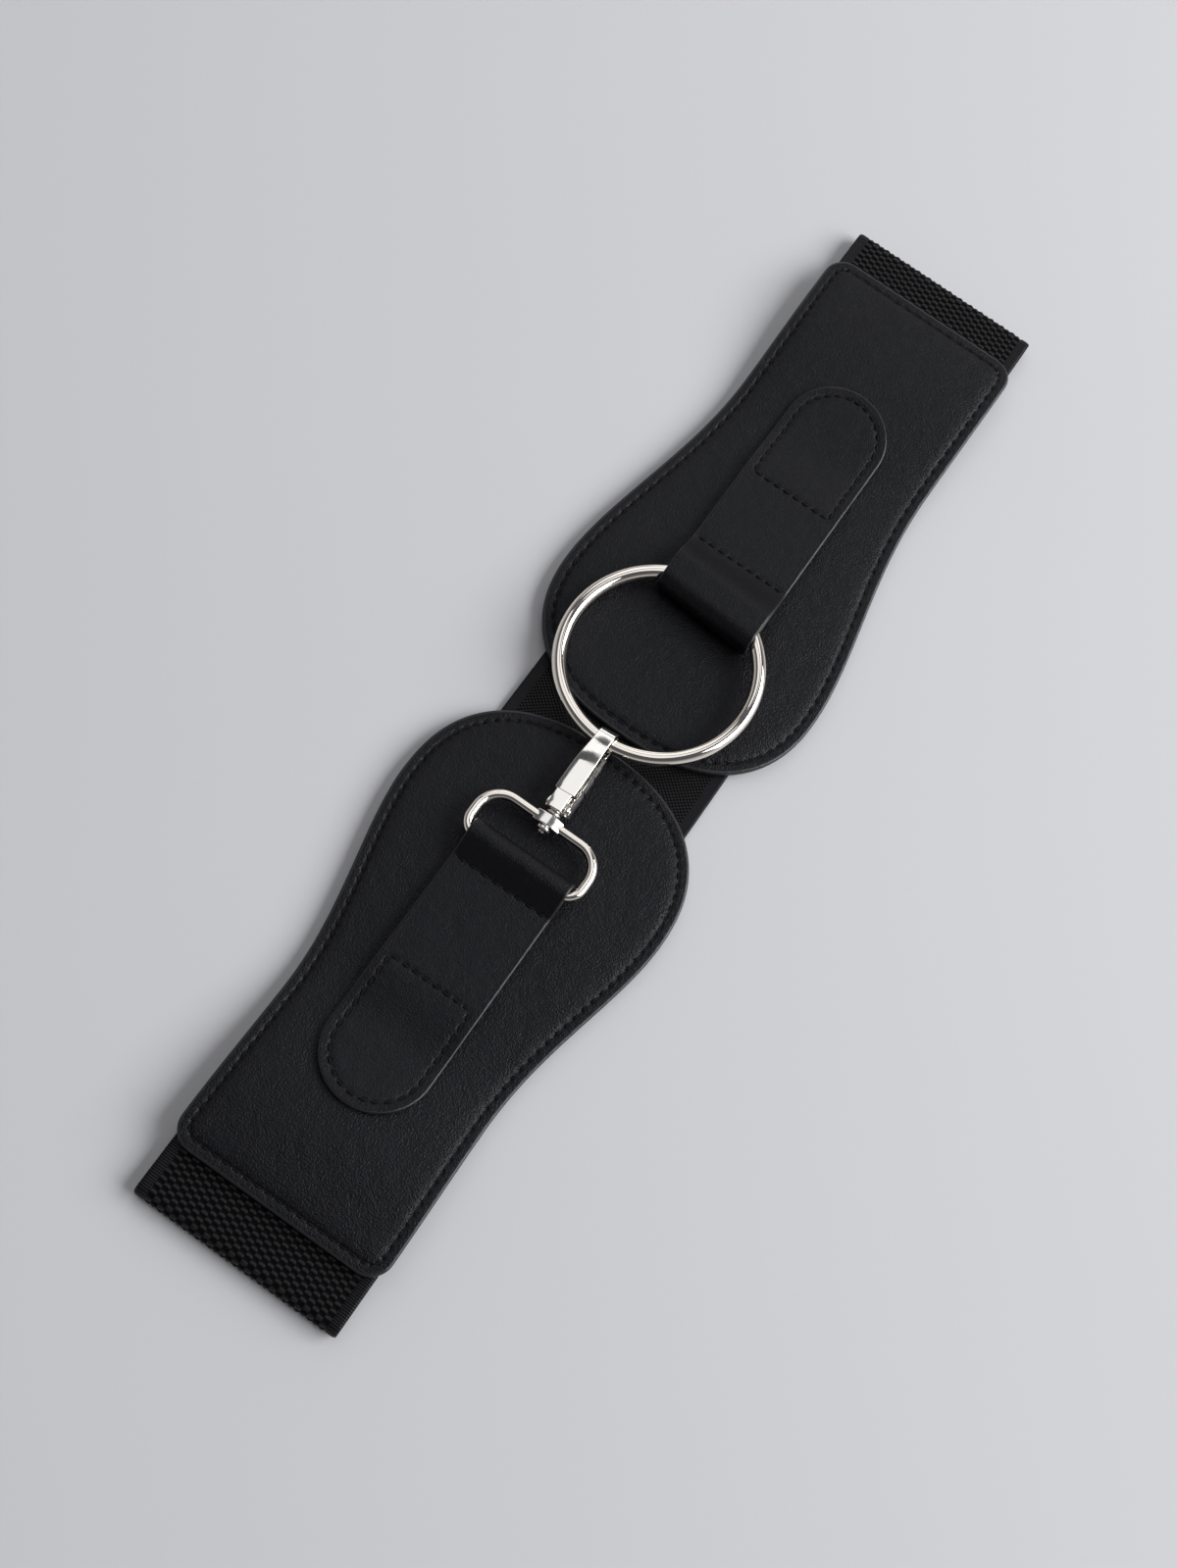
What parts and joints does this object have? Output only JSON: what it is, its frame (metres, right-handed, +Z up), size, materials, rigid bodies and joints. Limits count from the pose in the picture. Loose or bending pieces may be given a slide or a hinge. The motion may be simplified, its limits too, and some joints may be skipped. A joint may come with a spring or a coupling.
{
  "type": "elastic waist belt",
  "caption": "Wide elastic waist belt lying flat and fastened: two stitched leather front panels, a big O ring on one strap and a swivel snap hook on the other.",
  "frame": {"origin": "on the surface the belt lies on, under the middle of the flat belt", "axes": "+X along the belt from the hook's panel to the ring's panel, +Y across the belt, +Z up out of the front face"},
  "size_m": [0.3426, 0.082, 0.0151],
  "materials": {
    "webbing": "black woven elastic",
    "leather": "black fine-grained leather with painted edges",
    "nickel": "polished nickel plate"
  },
  "bodies": {
    "belt": {"elastic_band": "webbing", "hook_panel": "leather", "ring_panel": "leather", "hook_tab": "leather", "ring_tab": "leather", "ring": "nickel", "hook_loop": "nickel"},
    "hook": {"hook_body": "nickel"},
    "gate": {"gate": "nickel"}
  },
  "joints": [
    {"name": "swivel", "type": "hinge", "parent": "belt", "child": "hook", "pos_m": [-0.03675, 0.0014, 0.00931], "axis": [1, 0, 0], "range_deg": [-4, 8]},
    {"name": "gate_hinge", "type": "hinge", "parent": "hook", "child": "gate", "pos_m": [-0.0317, 0.0014, 0.00931], "axis": [0, -0.9781, 0.2079], "range_deg": [0, 13], "stiffness_Nm_per_rad": 0.01, "springref_deg": -22.92}
  ]
}
